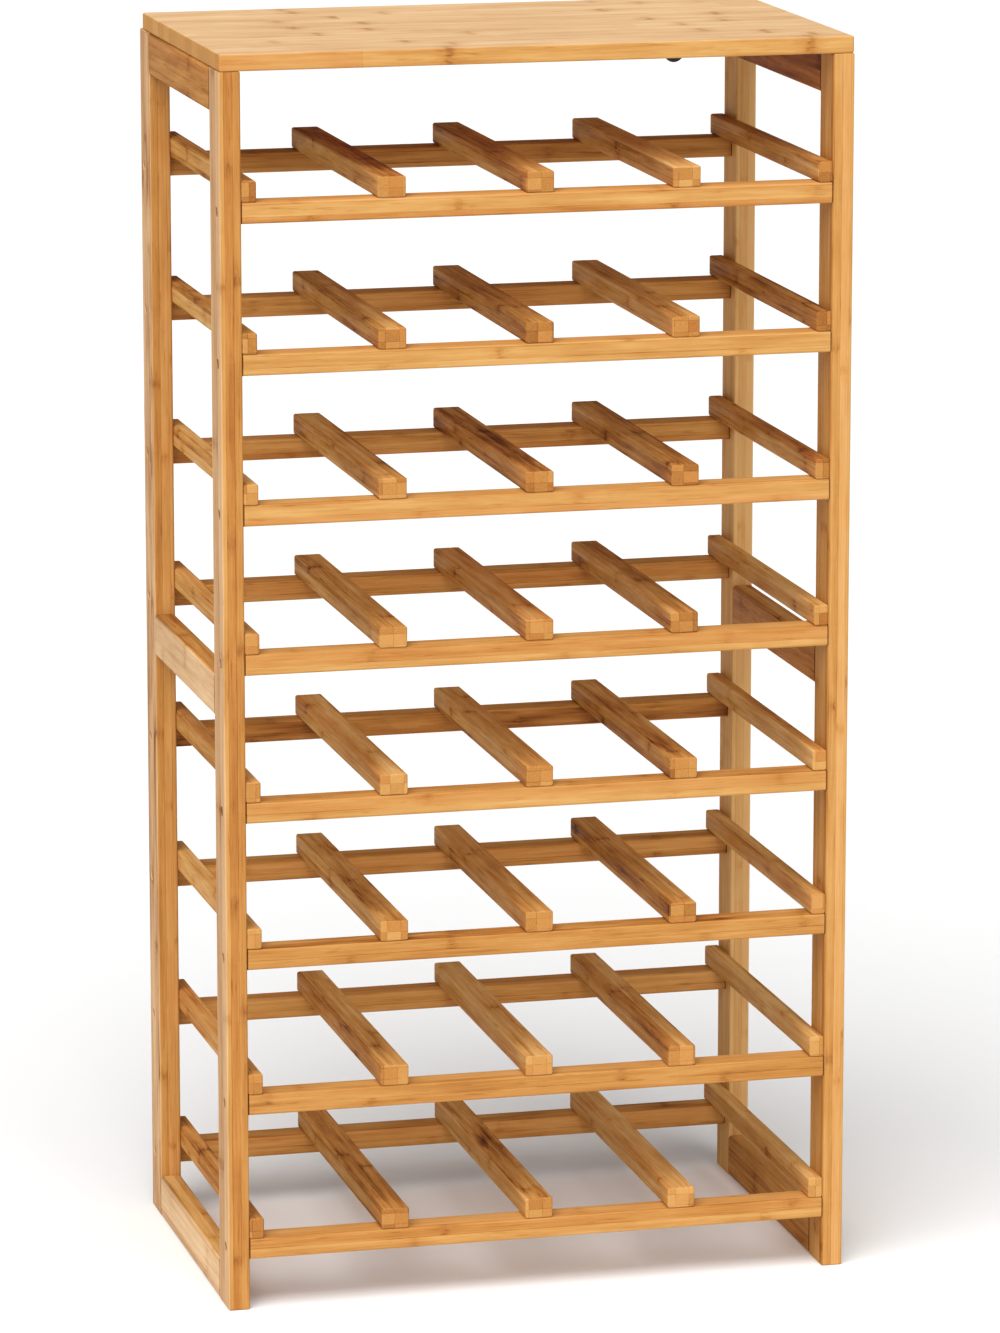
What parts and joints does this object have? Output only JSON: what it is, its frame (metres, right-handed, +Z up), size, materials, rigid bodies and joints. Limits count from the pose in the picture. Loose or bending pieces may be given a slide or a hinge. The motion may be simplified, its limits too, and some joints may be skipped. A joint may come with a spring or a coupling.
{
  "type": "wine rack",
  "caption": "Free-standing open wine rack: post-and-rail side frames joined by crossbars, slats that cradle bottles lying front to back in a square grid of bays, and a flat top board.",
  "frame": {"origin": "on the floor, under the centre of the rack's box", "axes": "+X to the right seen from the front, +Y from the front to the rear, +Z up"},
  "size_m": [0.473, 0.286, 0.9305],
  "materials": {
    "board_bamboo": "edge-glued bamboo strips, clear satin lacquer",
    "post_bamboo": "laminated bamboo, clear satin lacquer",
    "rail_bamboo": "laminated carbonised bamboo, clear satin lacquer",
    "crossbar_bamboo": "laminated bamboo, clear satin lacquer",
    "slat_bamboo": "laminated bamboo, clear satin lacquer",
    "dowel_wood": "bare turned hardwood",
    "bolt_steel": "zinc plated, dulled in its recess",
    "screw_steel": "zinc plated",
    "bracket_paint": "dark brown powder coat",
    "bracket_screw_steel": "zinc plated"
  },
  "bodies": {
    "root": {"top_board": "board_bamboo", "left_front_post": "post_bamboo", "left_rear_post": "post_bamboo", "right_front_post": "post_bamboo", "right_rear_post": "post_bamboo", "left_bottom_rail": "rail_bamboo", "left_middle_rail": "rail_bamboo", "left_top_rail": "rail_bamboo", "right_bottom_rail": "rail_bamboo", "right_middle_rail": "rail_bamboo", "right_top_rail": "rail_bamboo", "tier_1_front_crossbar": "crossbar_bamboo", "tier_1_rear_crossbar": "crossbar_bamboo", "tier_2_front_crossbar": "crossbar_bamboo", "tier_2_rear_crossbar": "crossbar_bamboo", "tier_3_front_crossbar": "crossbar_bamboo", "tier_3_rear_crossbar": "crossbar_bamboo", "tier_4_front_crossbar": "crossbar_bamboo", "tier_4_rear_crossbar": "crossbar_bamboo", "tier_5_front_crossbar": "crossbar_bamboo", "tier_5_rear_crossbar": "crossbar_bamboo", "tier_6_front_crossbar": "crossbar_bamboo", "tier_6_rear_crossbar": "crossbar_bamboo", "tier_7_front_crossbar": "crossbar_bamboo", "tier_7_rear_crossbar": "crossbar_bamboo", "tier_8_front_crossbar": "crossbar_bamboo", "tier_8_rear_crossbar": "crossbar_bamboo", "tier_1_divider_slats": "slat_bamboo", "tier_1_side_slats": "slat_bamboo", "tier_2_divider_slats": "slat_bamboo", "tier_2_side_slats": "slat_bamboo", "tier_3_divider_slats": "slat_bamboo", "tier_3_side_slats": "slat_bamboo", "tier_4_divider_slats": "slat_bamboo", "tier_4_side_slats": "slat_bamboo", "tier_5_divider_slats": "slat_bamboo", "tier_5_side_slats": "slat_bamboo", "tier_6_divider_slats": "slat_bamboo", "tier_6_side_slats": "slat_bamboo", "tier_7_divider_slats": "slat_bamboo", "tier_7_side_slats": "slat_bamboo", "tier_8_divider_slats": "slat_bamboo", "tier_8_side_slats": "slat_bamboo", "left_frame_bolts": "bolt_steel", "right_frame_bolts": "bolt_steel", "left_rail_dowels": "dowel_wood", "right_rail_dowels": "dowel_wood", "board_dowels": "dowel_wood", "divider_screws": "screw_steel", "side_slat_screws": "screw_steel", "left_wall_bracket": "bracket_paint", "right_wall_bracket": "bracket_paint", "bracket_screws": "bracket_screw_steel"}
  },
  "joints": []
}
